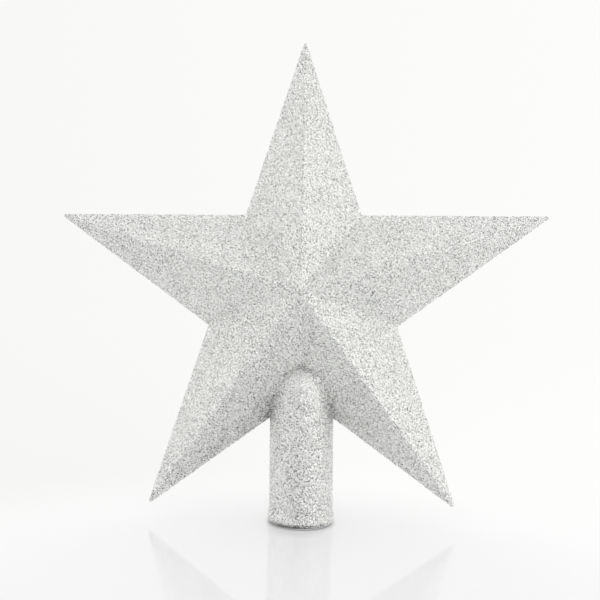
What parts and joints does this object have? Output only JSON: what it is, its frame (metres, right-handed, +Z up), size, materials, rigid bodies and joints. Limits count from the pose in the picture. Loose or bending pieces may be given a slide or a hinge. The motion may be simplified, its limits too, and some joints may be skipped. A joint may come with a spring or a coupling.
{
  "type": "christmas tree topper star",
  "caption": "Hollow faceted star with pointed arms on a round socket, coated with silver glitter; slips over the top shoot of a Christmas tree or stands on its socket.",
  "frame": {"origin": "centre of the socket's mouth, which is the centre of the object's base", "axes": "+Z up along the socket to the star's top point, +Y from the star's front to its back, +X to the right seen from the front"},
  "size_m": [0.1998, 0.0664, 0.1965],
  "materials": {
    "moulded_plastic": "satin silver-grey moulded polystyrene",
    "silver_glitter": "fine silver glitter flakes set in clear lacquer"
  },
  "bodies": {
    "root": {"front_shell": "moulded_plastic", "rear_shell": "moulded_plastic", "socket_sleeve": "moulded_plastic", "front_glitter_coat": "silver_glitter", "rear_glitter_coat": "silver_glitter", "sleeve_glitter_coat": "silver_glitter"}
  },
  "joints": []
}
